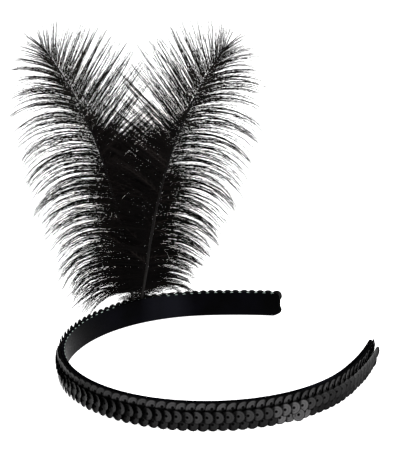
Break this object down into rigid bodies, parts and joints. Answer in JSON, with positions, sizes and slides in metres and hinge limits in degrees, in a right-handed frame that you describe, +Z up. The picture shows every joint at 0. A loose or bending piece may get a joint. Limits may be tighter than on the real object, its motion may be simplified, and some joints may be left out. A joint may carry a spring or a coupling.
{
  "type": "flapper feather headband",
  "caption": "Open plastic hair hoop covered in overlapping black sequins, with a pair of ostrich plumes standing up from one side.",
  "frame": {"origin": "middle of the whole object's footprint, on the surface that the hoop's lower rim faces", "axes": "+Z up, across the band's width, the way the plumes rise; +X from the hoop's closed middle to its open ends; +Y towards the arm that carries the plumes"},
  "size_m": [0.1496, 0.1908, 0.1621],
  "materials": {
    "hoop_plastic": "smooth moulded black plastic, soft gloss",
    "sequins": "satin charcoal sequins with a faint cupped ring, stitched through the middle",
    "feather": "dyed black ostrich, fine soft barbs with a dull sheen"
  },
  "bodies": {
    "root": {"hoop": "hoop_plastic", "sequin_trim": "sequins", "plume_left": "feather", "plume_right": "feather"}
  },
  "joints": []
}
